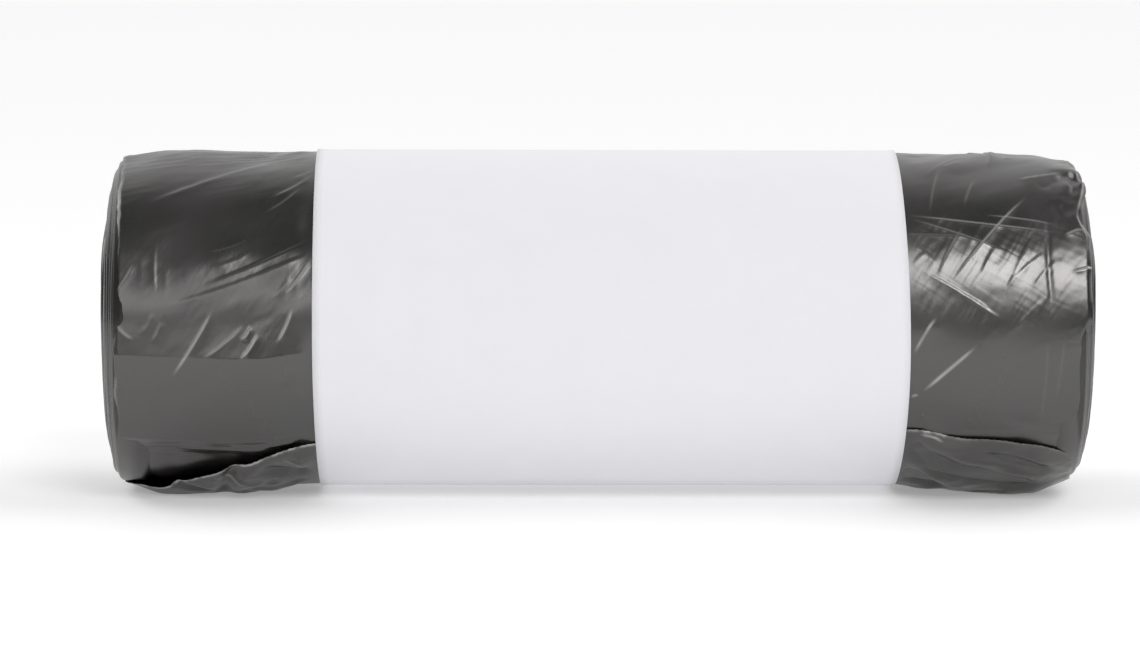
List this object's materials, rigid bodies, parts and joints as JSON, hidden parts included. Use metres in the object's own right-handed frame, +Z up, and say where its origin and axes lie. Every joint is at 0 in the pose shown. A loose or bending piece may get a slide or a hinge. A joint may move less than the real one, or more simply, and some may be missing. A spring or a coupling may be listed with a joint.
{
  "type": "bin bag roll",
  "caption": "Coreless roll of dark plastic bin bags lying on its side, folded lengthwise and wound, held shut round the middle by a plain glued paper band.",
  "frame": {"origin": "centre of the roll's footprint, on the surface it lies on", "axes": "+X along the roll's axis, +Z up; the free tail of the film hangs on the -Y side"},
  "size_m": [0.2, 0.0699, 0.0695],
  "materials": {
    "film": "satin",
    "band_paper": "matte"
  },
  "bodies": {
    "root": {"bag_roll": "film", "paper_band": "band_paper"}
  },
  "joints": []
}
